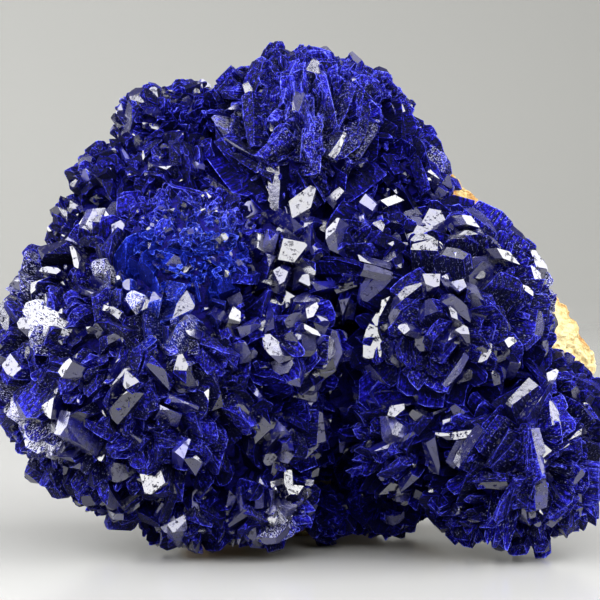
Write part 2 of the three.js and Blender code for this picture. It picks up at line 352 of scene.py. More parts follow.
def add_looks(mesh, places, shade, tint, hollow_shade, girth):
    """What the materials read.

    place is where a corner is in its crystal, in mm, with Z up the blade and 0 at its tip. shade is a number
    of the crystal's own. tint and hollow are as in tint_at and hollow_at, and hollow is painted shade. girth is
    the rosette's radius."""
    faces = len(mesh.polygons)
    mesh.attributes.new("place", "FLOAT_VECTOR", "CORNER").data.foreach_set("vector", np.ravel(places))
    mesh.attributes.new("tint", "FLOAT_VECTOR", "FACE").data.foreach_set("vector", tint * faces)
    for name, value in (("shade", shade), ("hollow_shade", hollow_shade), ("girth", girth)):
        mesh.attributes.new(name, "FLOAT", "FACE").data.foreach_set("value", [value] * faces)


def add_materials(mesh, materials):
    for material in materials:
        mesh.materials.append(material)


def solid_object(shape, placed, root, shade, r, materials, smooth=False):
    """One crystal of rosette r as an object about the rosette's centre. Its root is at most that deep.

    A smooth crystal has only facets. Of the others, a share of gloss ends in facets."""
    points, faces, kinds = shape
    if smooth:
        kinds = [FACET] * len(kinds)
    elif rng.random() > r["gloss"]:
        kinds = [BROAD] * len(kinds)
    m = np.array(placed)
    scale = np.linalg.norm(m[:3, :3], axis=0)
    local = points * scale
    local[:, 2] = np.maximum(local[:, 2], -root)
    world = local @ (m[:3, :3] / scale).T + m[:3, 3]
    mesh = bpy.data.meshes.new("crystal")
    mesh.from_pydata(world.tolist(), [], faces)
    add_materials(mesh, materials)
    mesh.polygons.foreach_set("material_index", kinds)
    at = Vector(r["at"]) + Vector(m[:3, 3])
    add_looks(mesh, local[np.concatenate(faces)], shade, tint_at(at), hollow_at(at, r), r["radius"])
    return bpy.data.objects.new("crystal", mesh)


# ---------------------------------------------------------------- rosettes

TABLE_MARGIN = 0.2  # crystals with tips lower than this are left out
# The painted shade of a valley between two rosettes starts this near to the other one, in mm.
VALLEY = 3  # how near to another rosette a valley starts
# A rosette's surface swells and sinks: how often to a mm, and how far as a share of its radius, then in mm.
BROAD_SWELL, FINE_SWELL = (0.14, 0.035), (0.33, 0.5)
ROW_STEP = 0.72  # how far apart blades are along their width, as a share of it
ROW_WOBBLE = 0.16  # how unevenly rows are spaced, as a share of the space between them
FAN_END = 0.05  # how far from its axis a fan reaches, as a cosine
UNRULY = 0.12  # the share of blades that turn out of line
WANDER_SCALE, WANDER_START = 0.16, Vector((7, 3, 1))  # the noise by which neighbouring blades turn together
BLADES_BURIED, CHIPS_BURIED = 1.4, 0.8  # how deep in another rosette blades and chips are left out
# How blades vary: width and thickness as shares of the rosette's, and tips as shares of its radius.
WIDTHS, THICKNESSES = (0.6, 1.25), (0.6, 1.25)
LOW_TIPS, HIGH_TIPS, LOW_SHARE = (0.94, 1.0), (1.0, 1.045), 0.8
PLATE_FROM = 3.2  # the width over thickness from which blades are plates
PETAL_LEANS, FAN_LEANS = (0, 1.5), (0.3, 1.2)  # shares of the rosette's lean
PETAL_BENDS, OTHER_BENDS = (0.7, 1.2), (-0.09, 0.09)  # over the distance from the axis, and per mm
SMALLEST_RING = 3.0  # a petal bends no more than it would this far from the axis
LAYER_STEP = (0.6, 0.95)  # how far apart the plates on one another are, in thicknesses
BENT_SHARE, BENT_SEGMENTS = 0.25, 3  # the share of plates that bend in segments, and how many
SEGMENT_STEP, SEGMENT_WIDTH, WHOLE_WIDTH = 0.34, 0.42, 0.8  # shares of a blade's width
CHIP_SPACING, CHIP_SIZES, CHIP_DEPTHS = 1.3, (0.35, 0.85), (0.25, 0.95)  # depths are shares of the relief
CHIP_WOBBLE, CHIP_TILT = 0.5, 0.3  # how far chips stray, in spacings, and how far they tilt
DULL, DULL_GRAIN = 0.25, 0.75  # a rosette with less gloss than DULL has chips that much smaller and nearer
GLINT_REACH, GLINT_ROOT = 0.99, 2  # how far out a glint is, in radii, and how far it goes below the relief
GLINT_WOBBLE, GLINT_WIDTHS = 0.06, (0.5, 0.75)  # how far it turns, and its width as a share of its length
CORE_SUBDIVISIONS = 4
# A core ball and a cut face: a middling tone of their own, no tint, and half the painted shade of a valley.
CORE_LOOKS = dict(shade=0.3, tint=[0, 0, 0], hollow_shade=0.5)
BOX_INSET = 0.02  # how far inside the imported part's box a rosette is cut off
OVERHANG = 1.1  # a rosette that comes this near to the box, in radii, is cut


def sphere_directions(count):
    """Directions spread evenly over a sphere, on a spiral."""
    i = np.arange(count) + 0.5
    z = 1 - 2 * i / count
    turn = i * math.pi * (3 - math.sqrt(5))
    ring = np.sqrt(1 - z * z)
    return np.stack([ring * np.cos(turn), ring * np.sin(turn), z], axis=1)


def buried(point, own, depth):
    """True if a point is deeper than depth inside another rosette, inside the rock, or below the table."""
    if point.z < TABLE_MARGIN:
        return True
    for r in ROSETTES:
        if r is not own and (point - Vector(r["at"])).length < r["radius"] - depth:
            return True
    for at, half in ROCK_LUMPS:
        d = point - Vector(at)
        if math.hypot(d.x / half[0], d.y / half[1], d.z / half[2]) < ROCK_MARGIN:
            return True
    return False


def hollow_at(point, own):
    """Painted shade at a point: how deep it is in the valley between two rosettes, and in a shaded spot, 0 to 1
    for each, added up.
    """
    near = min((point - Vector(r["at"])).length - r["radius"] for r in ROSETTES if r is not own)
    valley = 1 - near / VALLEY
    shaded_spot = max(2 - 2 * (point - Vector(at)).length / radius for at, radius in SHADED_SPOTS)
    return min(1, max(0, valley)) + min(1, max(0, shaded_spot))


def bumpy(r, outward):
    """The rosette's radius that way: its surface swells and sinks a little."""
    place = Vector(r["at"]) + outward * r["radius"]
    swollen = r["radius"] * (1 + BROAD_SWELL[1] * noise.noise(place * BROAD_SWELL[0]))
    return swollen + FINE_SWELL[1] * noise.noise(place * FINE_SWELL[0])


def stands(r):
    """The ways a rosette's blades point, and how they lie there.

    Petals stand in rings about its axis, all over. Fan blades stand in rows that run down from it, almost to
    its equator, and mixed ones past there."""
    radius = r["radius"]
    axis = Vector(r["axis"]).normalized()
    if r["lay"] != "petal":
        for d in sphere_directions(int(4 * math.pi * radius**2 / r["spacing"] ** 2)):
            if r["lay"] == "mixed" or axis.dot(Vector(d)) < FAN_END:
                yield Vector(d), "mixed"
    if r["lay"] == "mixed":
        return
    side = axis.orthogonal().normalized()
    down, along = r["spacing"], ROW_STEP * r["width"]
    if r["lay"] == "fan":
        down, along = along, down
    for ring in range(int(math.pi * radius / down) + 1):
        polar = (ring + 0.5) * down / radius
        if polar > math.pi:
            break
        count = max(1, round(math.tau * radius * math.sin(polar) / along))
        start = between(0, math.tau)
        for i in range(count):
            flat = Matrix.Rotation(start + math.tau * i / count, 3, axis) @ side
            tilt = polar + rng.normal(0, ROW_WOBBLE) * down / radius
            if r["lay"] == "petal" or math.cos(tilt) > FAN_END:
                yield axis * math.cos(tilt) + flat * math.sin(tilt), r["lay"]


def across(r, lay, outward, place):
    """The way a blade's width runs there, square to outward."""
    axis = Vector(r["axis"]).normalized()
    ring = axis.cross(outward)
    if ring.length < 0.02:
        ring = outward.orthogonal()
    ring.normalize()
    wander = noise.noise(place * WANDER_SCALE + WANDER_START)
    turn = {
        "petal": 1.1 * wander + between(-0.35, 0.35),
        "fan": math.pi / 2 + 0.7 * wander + between(-0.25, 0.25),
        "mixed": 5 * wander + between(-0.5, 0.5),
    }[lay]
    if rng.random() < UNRULY:
        turn += between(-1, 1)
    return Matrix.Rotation(turn, 3, outward) @ ring


def basis(x, z, at, scale):
    """A 4x4 matrix with Z along z and X near x, scaled."""
    z = z.normalized()
    y = z.cross(x).normalized()
    x = y.cross(z)
    m = Matrix((x * scale[0], y * scale[1], z * scale[2])).transposed().to_4x4()
    m.translation = at
    return m


def blade_lean(r, lay, outward, through):
    """How far a blade leans back from through. Petals open away from the axis, fan blades from the middle."""
    if lay == "petal":
        return r["lean"] * between(*PETAL_LEANS)
    if lay == "fan":
        axis = Vector(r["axis"]).normalized()
        open_to = outward.x - axis.x * outward.dot(axis)
        return -math.copysign(r["lean"] * between(*FAN_LEANS), through.x * open_to)
    return rng.normal(0, r["lean"])


def blade_stack(r, lay, outward, materials):
    """The plates of one blade: some lie on one another, and a few wide ones bend along their width."""
    centre, radius = Vector(r["at"]), bumpy(r, outward)
    x = across(r, lay, outward, centre + outward * radius)
    through = outward.cross(x)
    width = r["width"] * between(*WIDTHS) * (0.5 if lay != r["lay"] else 1)
    plates = r["width"] / r["thick"] > PLATE_FROM
    family, aspect = (PLATES, PLATE_ASPECT) if plates else (CHUNKS, CHUNK_ASPECT)
    if lay == "fan":
        family, aspect = FINS, FIN_ASPECT
    tip = radius * between(*(LOW_TIPS if rng.random() < LOW_SHARE else HIGH_TIPS))
    off_axis = outward.cross(Vector(r["axis"]).normalized()).length * radius
    if lay == "petal":
        bend = between(*PETAL_BENDS) / max(off_axis, SMALLEST_RING)
    else:
        bend = between(*OTHER_BENDS)
    lean = blade_lean(r, lay, outward, through)
    shade = rng.random()
    layers = 1 + int(rng.integers(0, r["layers"]))
    step = r["thick"] * between(*LAYER_STEP)
    segments = BENT_SEGMENTS if plates and rng.random() < BENT_SHARE else 1
    made = []
    for layer in range(layers):
        drop = abs(rng.normal(0, 0.4)) + 0.25 * abs(layer - (layers - 1) / 2)
        slip = rng.normal(0, 0.1 * width)
        unit = r["thick"] * between(*THICKNESSES)
        layer_shade = 0.65 * shade + 0.35 * rng.random()
        for segment in range(segments):
            s = (segment - (segments - 1) / 2) * SEGMENT_STEP * width + slip
            xs = (x + through * bend * s).normalized()
            away = (outward - through * lean + x * rng.normal(0, 0.05)).normalized()
            at = outward * (tip - drop) + x * s + through * (0.5 * bend * s * s)
            at += through * ((layer - (layers - 1) / 2) * step)
            at = at.normalized() * (tip - drop - 0.04 * s * s - abs(rng.normal(0, 0.15)))
            wide = width / aspect * (SEGMENT_WIDTH if segments > 1 else WHOLE_WIDTH)
            shape = family[int(rng.integers(len(family)))]
            m = basis(xs, away, at, (wide, unit, unit))
            made.append(solid_object(shape, m, 0.62 * radius, layer_shade, r, materials))
    return made


def glint_crystal(r, x, z, size, materials):
    """A crystal on the front of rosette r that ends in one large face, turned one of the GLINT_FACINGS."""
    dx, dz = x - r["at"][0], z - r["at"][2]
    dy = -math.sqrt(max(0.1, r["radius"] ** 2 - dx * dx - dz * dz))
    outward = Vector((dx, dy, dz)).normalized()
    facing = max((Vector(way).normalized() for way in GLINT_FACINGS), key=outward.dot)
    facing = (facing + Vector(rng.normal(0, GLINT_WOBBLE, 3))).normalized()
    long_way = Matrix.Rotation(between(0, math.pi), 3, facing) @ facing.orthogonal().normalized()
    scale = (size, between(*GLINT_WIDTHS) * size, size)
    m = basis(long_way, facing, outward * GLINT_REACH * r["radius"], scale)
    shape = STUMPS[int(rng.integers(len(STUMPS)))]
    return solid_object(shape, m, r["relief"] + GLINT_ROOT, rng.random(), r, materials, smooth=True)


def rosette_crystals(r, materials):
    """The crystals of one rosette, each as an object about the rosette's centre."""
    centre, radius = Vector(r["at"]), r["radius"]
    made = [glint_crystal(r, x, z, size, materials) for name, (x, z), size in GLINTS if name == r["name"]]
    for d, lay in stands(r):
        outward = d + Vector(rng.normal(0, 0.14 * r["spacing"] / radius, 3))
        outward.normalize()
        if not buried(centre + outward * radius, r, BLADES_BURIED):
            made += blade_stack(r, lay, outward, materials)
    grain = DULL_GRAIN if r["gloss"] < DULL else 1.0
    spacing = CHIP_SPACING * grain
    count = int(4 * math.pi * radius**2 / spacing**2 * r["chips"])
    for d in sphere_directions(count):
        outward = Vector(d) + Vector(rng.normal(0, CHIP_WOBBLE * spacing / radius, 3))
        outward.normalize()
        if buried(centre + outward * radius, r, CHIPS_BURIED):
            continue
        standing = (outward + Vector(rng.normal(0, CHIP_TILT, 3))).normalized()
        depth = r["relief"] * between(*CHIP_DEPTHS)
        size = between(*CHIP_SIZES) * grain
        at = outward * (bumpy(r, outward) - depth)
        m = basis(standing.orthogonal(), standing, at, (size, size, size))
        m = m @ Matrix.Rotation(between(0, math.tau), 4, "Z")
        shape = CHIPS[int(rng.integers(len(CHIPS)))]
        made.append(solid_object(shape, m, radius, rng.random(), r, materials))
    return made


def core_object(r, materials):
    """The ball that a rosette's crystals stand in."""
    bm = bmesh.new()
    bmesh.ops.create_icosphere(bm, subdivisions=CORE_SUBDIVISIONS, radius=1)
    for v in bm.verts:
        v.co *= bumpy(r, v.co.normalized()) - r["relief"]
    mesh = bpy.data.meshes.new(r["name"])
    bm.to_mesh(mesh)
    bm.free()
    add_materials(mesh, materials)
    mesh.polygons.foreach_set("material_index", [CORE] * len(mesh.polygons))
    add_looks(mesh, [(0, 0, 0)] * len(mesh.loops), girth=r["radius"], **CORE_LOOKS)
    return bpy.data.objects.new(r["name"], mesh)


def joined(name, body, others, operation="UNION"):
    """One closed solid of body and the other objects, which are removed."""
    scene = bpy.context.scene.collection
    scene.objects.link(body)
    group = bpy.data.collections.new("others")
    scene.children.link(group)
    for o in others:
        group.objects.link(o)
    modifier = body.modifiers.new("join", "BOOLEAN")
    modifier.operation = operation
    modifier.solver = "MANIFOLD"
    modifier.operand_type = "COLLECTION"
    modifier.collection = group
    evaluated = body.evaluated_get(bpy.context.evaluated_depsgraph_get())
    mesh = bpy.data.meshes.new_from_object(evaluated)
    mesh.name = name
    for o in list(others) + [body]:
        old = o.data
        bpy.data.objects.remove(o)
        bpy.data.meshes.remove(old)
    bpy.data.collections.remove(group)
    return mesh


def box_object(low, high, materials):
    """A box from its lowest to its highest corner. Where it cuts a rosette, the cut looks like a blade."""
    bm = bmesh.new()
    bmesh.ops.create_cube(bm, size=1)
    for v in bm.verts:
        for i in range(3):
            v.co[i] = low[i] if v.co[i] < 0 else high[i]
    mesh = bpy.data.meshes.new("box")
    bm.to_mesh(mesh)
    bm.free()
    add_materials(mesh, materials)
    add_looks(mesh, [(0, 0, -2)] * len(mesh.loops), girth=10, **CORE_LOOKS)
    return bpy.data.objects.new("box", mesh)


def drop_loose_parts(mesh):
    """Leave only the largest connected part of a mesh: a crystal that touches nothing is dropped."""
    bm = bmesh.new()
    bm.from_mesh(mesh)
    parts, seen = [], set()
    for first in bm.verts:
        if first in seen:
            continue
        seen.add(first)
        part = [first]
        for v in part:  # part grows as its neighbours are found
            for e in v.link_edges:
                other = e.other_vert(v)
                if other not in seen:
                    seen.add(other)
                    part.append(other)
        parts.append(part)
    parts.sort(key=len)
    bmesh.ops.delete(bm, geom=[v for part in parts[:-1] for v in part], context="VERTS")
    bm.to_mesh(mesh)
    bm.free()


def make_rosette(r, materials):
    """One rosette as a piece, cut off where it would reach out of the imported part's box."""
    crystals = rosette_crystals(r, materials)
    mesh = joined(r["name"], core_object(r, materials), crystals)
    at = Vector(r["at"])
    low = [CAD_BOUNDS[0][i] / MM - at[i] + BOX_INSET for i in range(3)]
    high = [CAD_BOUNDS[1][i] / MM - at[i] - BOX_INSET for i in range(3)]
    reach = r["radius"] * OVERHANG
    if any(low[i] > -reach or high[i] < reach for i in range(3)):
        whole = bpy.data.objects.new(r["name"], mesh)
        mesh = joined(r["name"], whole, [box_object(low, high, materials)], "INTERSECT")
    drop_loose_parts(mesh)
    mesh.transform(Matrix.Scale(MM, 4))
    o = bpy.data.objects.new("azurite_" + r["name"], mesh)
    o.location = at * MM
    bpy.context.scene.collection.objects.link(o)
    return o


# ---------------------------------------------------------------- materials

# Colour ramps: where each colour lies, from 0 to 1, and the colour.
BLUES = [
    (0.08, (0.0002, 0.0002, 0.008)),
    (0.36, (0.0016, 0.001, 0.085)),
    (0.6, (0.008, 0.005, 0.3)),
    (0.84, (0.032, 0.036, 0.61)),
    (1.0, (0.17, 0.2, 0.85)),
]
AZURES = [
    (0.15, (0.001, 0.004, 0.1)),
    (0.5, (0.006, 0.02, 0.42)),
    (0.85, (0.03, 0.09, 0.8)),
    (1.0, (0.2, 0.3, 0.9)),
]
GREENS = [(0.2, (0.001, 0.008, 0.01)), (0.6, (0.005, 0.05, 0.05)), (1.0, (0.05, 0.2, 0.14))]
FACET_BLUES = [(0.3, (0.0006, 0.0006, 0.01)), (0.6, (0.0015, 0.0015, 0.05)), (0.85, (0.005, 0.005, 0.2))]
CORE_BLUES = [(0.35, (0.0003, 0.0003, 0.01)), (0.7, (0.004, 0.002, 0.16))]
OCHRES = [
    (0.38, (0.05, 0.018, 0.005)),
    (0.45, (0.27, 0.12, 0.025)),
    (0.5, (0.36, 0.25, 0.085)),
    (0.6, (0.5, 0.42, 0.22)),
]
# The sweep's greys, with painted shade: the wall darker to the right, the floor darker to the left.
WALL_GREYS = [(0, (0.278, 0.278, 0.266)), (1, (0.19, 0.19, 0.18))]
FLOOR_GREYS = [(0, (0.228, 0.228, 0.224)), (1, (0.268, 0.268, 0.265))]
SPARKLE_BLUE, CRUST_WHITE = (0.4, 0.42, 0.8, 1), (0.8, 0.8, 0.86, 1)  # the blue-white of painted sparkle specks, and the white of a thick pale crust
# How much each thing brightens a blade's broad faces, and what is taken off the sum.
# Of these, the tip, depth and valley weights paint light and shade, and the edge weight paints a highlight on
# sharp edges.
SHADE_WEIGHT, TIP_WEIGHT, DEPTH_WEIGHT, LINE_WEIGHT, PATCH_WEIGHT = 0.5, 0.2, -0.4, 2.4, 0.7
GRAIN_WEIGHT, AZURE_WEIGHT, HOLLOW_SHADE_WEIGHT, EDGE_HIGHLIGHT_WEIGHT, BLUE_LEVEL = 2.0, 0.08, -0.16, 0.55, -2.62
# Painted light and shade on a blade's broad faces: brighter near its tip, darker deeper inside the rosette.
TIP_LENGTH, DARK_DEPTH = 4.0, 4.0  # where a blade darkens: below its tip, and inside the rosette, in mm
# The painted highlight on crystals' sharp edges.
EDGE_WIDTH, EDGE_FROM, EDGE_FULL = 0.00015, 0.985, 0.85  # in metres, and the cosines from face to full edge
# Noise: scale, detail and roughness. Scales are per metre. Lines and specks are in crystal_space instead.
BROAD_GRAIN, BROAD_PATCH = (2600, 4, 0.75), (380, 3, 0.6)
LINES, SPECKS = (1.0, 5, 0.72), (1.0, 4, 0.7)
FACET_CLOUD, FACET_PITS = (900, 5, 0.7), (1700, 5, 0.75)
CORE_GRAIN, ROCK_BROAD, ROCK_GRAIN = (1800, 5, 0.7), (130, 5, 0.6), (1500, 5, 0.7)
# crystal_space for lines and specks: how fine they are across and along a crystal, per mm.
LINE_SCALE, SPECK_SCALE = (3.4, 0.55), (7.5, 3.5)
CRYSTAL_OFFSET = 190  # how far apart in the noise crystals of shade 0 and 1 lie
BROAD_IOR, BROAD_SHEEN = 1.22, (0.25, 0.28, 1.0, 1)  # a velvety face reflects little, and blue
FACET_IOR = 1.84
# Where painted sparkle specks, and the pale crust that grows from them, start and are whole, and how much a
# patch's paleness adds to them.
SPARKLE_CRUST_FROM, SPARKLE_CRUST_WHOLE, SPARKLE_CRUST_PALE = 0.6, 0.65, 0.16
AZURE_SHARE, GREEN_SHARE = 0.75, 0.8  # how far those tints replace the blue, at most
PIT_FROM, PIT_FULL = 0.42, 0.34
# How high bumps are, in metres: a blade's lines and grain, facets' pits and cloud, the core's and the rock's.
BROAD_BUMP, PIT_BUMP, CLOUD_BUMP, CORE_BUMP, ROCK_BUMP = 0.0007, -0.0002, 0.0001, 0.0005, 0.0006


class Nodes:
    """Short ways to make a material's nodes."""

    def __init__(self, name):
        self.material = bpy.data.materials.new(name)
        self.material.use_nodes = True
        self.tree = self.material.node_tree
        self.shader = self.tree.nodes["Principled BSDF"]

    def add(self, kind, inputs=None, **settings):
        node = self.tree.nodes.new(kind)
        for key, value in settings.items():
            setattr(node, key, value)
        for key, value in (inputs or {}).items():
            self.put(node.inputs[key], value)
        return node

    def put(self, socket, value):
        if isinstance(value, bpy.types.NodeSocket):
            self.tree.links.new(value, socket)
        elif isinstance(value, bpy.types.Node):
            self.tree.links.new(value.outputs[0], socket)
        else:
            socket.default_value = value

    def math(self, operation, a, b=0.0, c=0.0):
        return self.add("ShaderNodeMath", {0: a, 1: b, 2: c}, operation=operation).outputs[0]

    def weighted(self, terms, total):
        """The sum of each value times its weight, on top of total."""
        for value, weight in terms:
            total = self.math("MULTIPLY_ADD", value, weight, total)
        return total

    def reach(self, value, start, end):
        """0 where value is start, 1 where it is end, and no less or more beyond them."""
        return self.add("ShaderNodeMapRange", {0: value, 1: start, 2: end}).outputs[0]

    def local(self):
        return self.add("ShaderNodeTexCoord").outputs["Object"]

    def noise(self, vector, scale, detail, roughness):
        inputs = {"Vector": vector, "Scale": scale, "Detail": detail, "Roughness": roughness}
        return self.add("ShaderNodeTexNoise", inputs).outputs[0]

    def ramp(self, value, stops):
        node = self.add("ShaderNodeValToRGB", {0: value})
        elements = node.color_ramp.elements
        while len(elements) < len(stops):
            elements.new(0.5)
        for element, (position, colour) in zip(elements, stops):
            element.position = position
            element.color = (*colour, 1) if len(colour) == 3 else colour
        return node.outputs[0]

    def mix(self, factor, a, b):
        node = self.add("ShaderNodeMix", data_type="RGBA")
        self.put(node.inputs[0], factor)
        self.put(node.inputs[6], a)
        self.put(node.inputs[7], b)
        return node.outputs[2]

    def attribute(self, name):
        return self.add("ShaderNodeAttribute", attribute_name=name)

    def bump(self, height, distance, strength=1.0, normal=None):
        node = self.add("ShaderNodeBump", {"Height": height, "Distance": distance, "Strength": strength})
        if normal is not None:
            self.put(node.inputs["Normal"], normal)
        return node.outputs[0]


def crystal_space(n, across, along):
    """Coordinates within a crystal, drawn out along it, and other ones for each crystal."""
    place = n.attribute("place").outputs["Vector"]
    shade = n.attribute("shade").outputs["Fac"]
    scaled = n.add("ShaderNodeVectorMath", {0: place, 1: (across, across, along)}, operation="MULTIPLY")
    offset = n.math("MULTIPLY", shade, CRYSTAL_OFFSET)
    apart = n.add("ShaderNodeCombineXYZ", {0: offset, 1: offset, 2: offset})
    return n.add("ShaderNodeVectorMath", {0: scaled, 1: apart}, operation="ADD").outputs[0]


def edge_of(n, width):
    """1 on the sharp edges of crystals and 0 on their faces."""
    bevel = n.add("ShaderNodeBevel", {"Radius": width}, samples=4).outputs[0]
    true = n.add("ShaderNodeNewGeometry").outputs["True Normal"]
    alike = n.add("ShaderNodeVectorMath", {0: bevel, 1: true}, operation="DOT_PRODUCT").outputs["Value"]
    return n.reach(alike, EDGE_FROM, EDGE_FULL)


def broad_material():
    """Velvety blue with lines along the blade; painted bright edges, shade and sparkle; tints and a pale crust
    in patches.
    """
    n = Nodes("azurite_broad")
    local = n.local()
    shade = n.attribute("shade").outputs["Fac"]
    hollow_shade = n.attribute("hollow_shade").outputs["Fac"]
    azure, green, pale = n.add("ShaderNodeSeparateXYZ", {0: n.attribute("tint").outputs["Vector"]}).outputs
    up = n.add("ShaderNodeSeparateXYZ", {0: n.attribute("place").outputs["Vector"]}).outputs[2]
    # Painted light and shade: brighter near a blade's tip, darker deeper inside the rosette.
    tip = n.reach(up, -TIP_LENGTH, 0.0)
    from_middle = n.add("ShaderNodeVectorMath", {0: local}, operation="LENGTH").outputs["Value"]
    depth = n.math("MULTIPLY_ADD", from_middle, -1 / MM, n.attribute("girth").outputs["Fac"])
    depth = n.reach(depth, 0.0, DARK_DEPTH)
    line = n.noise(crystal_space(n, *LINE_SCALE), *LINES)
    grain = n.noise(local, *BROAD_GRAIN)
    patch = n.noise(local, *BROAD_PATCH)
    speck = n.noise(crystal_space(n, *SPECK_SCALE), *SPECKS)
    value = n.weighted([
        (shade, SHADE_WEIGHT),
        (tip, TIP_WEIGHT),
        (depth, DEPTH_WEIGHT),
        (line, LINE_WEIGHT),
        (patch, PATCH_WEIGHT),
        (grain, GRAIN_WEIGHT),
        (azure, AZURE_WEIGHT),
        # painted shade in valleys between rosettes and in shaded spots
        (hollow_shade, HOLLOW_SHADE_WEIGHT),
        # a painted highlight on sharp edges
        (edge_of(n, EDGE_WIDTH), EDGE_HIGHLIGHT_WEIGHT),
    ], BLUE_LEVEL)
    colour = n.mix(n.math("MULTIPLY", azure, AZURE_SHARE), n.ramp(value, BLUES), n.ramp(value, AZURES))
    colour = n.mix(n.math("MULTIPLY", green, GREEN_SHARE), colour, n.ramp(value, GREENS))
    # Painted sparkle specks on every blade, which paleness grows into a pale crust; less of both in painted
    # shade.
    sparkle_crust = n.reach(n.math("MULTIPLY_ADD", pale, SPARKLE_CRUST_PALE, speck), SPARKLE_CRUST_FROM, SPARKLE_CRUST_WHOLE)
    sparkle_crust = n.math("MULTIPLY", sparkle_crust, n.math("MULTIPLY_ADD", pale, 0.5, 0.5))
    sparkle_crust = n.math("MULTIPLY", sparkle_crust, n.math("SUBTRACT", 1.0, hollow_shade))
    colour = n.mix(sparkle_crust, colour, n.mix(pale, SPARKLE_BLUE, CRUST_WHITE))
    n.put(n.shader.inputs["Base Color"], colour)
    n.put(n.shader.inputs["Roughness"], n.math("MULTIPLY_ADD", grain, 0.6, 0.2))
    n.shader.inputs["IOR"].default_value = BROAD_IOR
    n.shader.inputs["Specular Tint"].default_value = BROAD_SHEEN
    n.put(n.shader.inputs["Normal"], n.bump(n.weighted([(line, 0.8), (grain, 0.8)], 0.0), BROAD_BUMP))
    return n.material


def facet_material():
    """Smooth, almost black crystal faces, a little cloudy and pitted, and duller on some crystals."""
    n = Nodes("azurite_facet")
    local = n.local()
    shade = n.attribute("shade").outputs["Fac"]
    cloud = n.noise(local, *FACET_CLOUD)
    n.put(n.shader.inputs["Base Color"], n.ramp(n.weighted([(cloud, 0.6), (shade, 0.4)], 0.0), FACET_BLUES))
    n.put(n.shader.inputs["Roughness"], n.weighted([(shade, 0.26), (cloud, 0.2)], -0.04))
    n.shader.inputs["IOR"].default_value = FACET_IOR
    pits = n.reach(n.noise(local, *FACET_PITS), PIT_FROM, PIT_FULL)
    n.put(n.shader.inputs["Normal"], n.bump(pits, PIT_BUMP, 1.0, n.bump(cloud, CLOUD_BUMP, 0.6)))
    return n.material


def core_material():
    """The dark ground between crystals."""
    n = Nodes("azurite_core")
    grain = n.noise(n.local(), *CORE_GRAIN)
    n.put(n.shader.inputs["Base Color"], n.ramp(grain, CORE_BLUES))
    n.shader.inputs["Roughness"].default_value = 0.7
    n.shader.inputs["Specular IOR Level"].default_value = 0.1
    n.put(n.shader.inputs["Normal"], n.bump(grain, CORE_BUMP))
    return n.material


def rock_material():
    """Matte ochre with iron-brown stains."""
    n = Nodes("limonite")
    local = n.local()
    grain = n.noise(local, *ROCK_GRAIN)
    value = n.weighted([(n.noise(local, *ROCK_BROAD), 0.6), (grain, 0.4)], 0.0)
    n.put(n.shader.inputs["Base Color"], n.ramp(value, OCHRES))
    n.shader.inputs["Roughness"].default_value = 0.9
    n.put(n.shader.inputs["Normal"], n.bump(grain, ROCK_BUMP))
    return n.material


def sweep_material():
    """Pale grey, with painted shade: the wall darkens towards the right, and the floor towards the left."""
    n = Nodes("sweep")
    right, back, _ = n.add("ShaderNodeSeparateXYZ", {0: n.local()}).outputs
    side = n.reach(right, -0.12, 0.12)
    colour = n.mix(n.reach(back, 0.1, 0.3), n.ramp(side, FLOOR_GREYS), n.ramp(side, WALL_GREYS))
    n.put(n.shader.inputs["Base Color"], colour)
    n.shader.inputs["Roughness"].default_value = 0.2
    return n.material


# ---------------------------------------------------------------- the rock

ROCK_VOXEL = 0.45  # the size of the rock's mesh
ROCK_BASE = 0.3  # the height up to which the rock stays flat
LUMP_REACH = 1.05  # a lump's own points are this near, as a share of its half-sizes
BREAKS = 30  # directions of flat breaks around each lump
BREAK_DEPTH = (0.91, 1.0)  # how far out they lie, as a share of the lump's half-sizes
UNDERNEATH = -0.5  # no break looks further down than this
# Dents in the broken faces: how many to a mm, and how deep. The sharp ones meet in creases.
DENTS = [(0.35, 0.5), (0.9, 0.5)]
SHARP_DENT = (1.7, 0.7)
DENT_LEVEL = 0.15


def break_rock(mesh):
    """Cut flat breaks into the rock's lumps and roughen them. Its base stays as it is."""
    points = np.array([v.co for v in mesh.vertices]) / MM
    for at, half in ROCK_LUMPS:
        at, half = np.array(at), np.array(half)
        on_lump = (np.linalg.norm((points - at) / half, axis=1) < LUMP_REACH) & (points[:, 2] > ROCK_BASE)
        for d in sphere_directions(BREAKS):
            if d[2] < UNDERNEATH:
                continue
            d = d + rng.normal(0, 0.12, 3)
            spot = at + half * d / np.linalg.norm(d) * between(*BREAK_DEPTH)
            facing = d / half + rng.normal(0, 0.012, 3)
            facing /= np.linalg.norm(facing)
            beyond = (points - spot) @ facing
            cut_off = on_lump & (beyond > 0)
            points[cut_off] -= np.outer(beyond[cut_off], facing)
    mesh.vertices.foreach_set("co", np.ravel(points * MM))
    mesh.update()
    normals = [v.normal.copy() for v in mesh.vertices]
    for v, normal in zip(mesh.vertices, normals):
        p = v.co / MM
        depth = DENT_LEVEL + sum(deep * noise.noise(p * scale) for scale, deep in DENTS)
        depth += SHARP_DENT[1] * abs(noise.noise(p * SHARP_DENT[0]))
        if p.z > ROCK_BASE:
            v.co -= normal * max(0.0, depth) * MM


def make_rock():
    """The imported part's rock, with a finer mesh and a broken surface."""
    rock = bpy.data.objects.new("limonite_rock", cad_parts["limonite_matrix"].data.copy())
    bpy.context.scene.collection.objects.link(rock)
    remesh = rock.modifiers.new("remesh", "REMESH")
    remesh.mode = "VOXEL"
    remesh.voxel_size = ROCK_VOXEL * MM
    mesh = bpy.data.meshes.new_from_object(rock.evaluated_get(bpy.context.evaluated_depsgraph_get()))
    rock.modifiers.clear()
    rock.data = mesh
    break_rock(mesh)
    mesh.materials.clear()
    mesh.materials.append(rock_material())
    return rock


# ---------------------------------------------------------------- the specimen

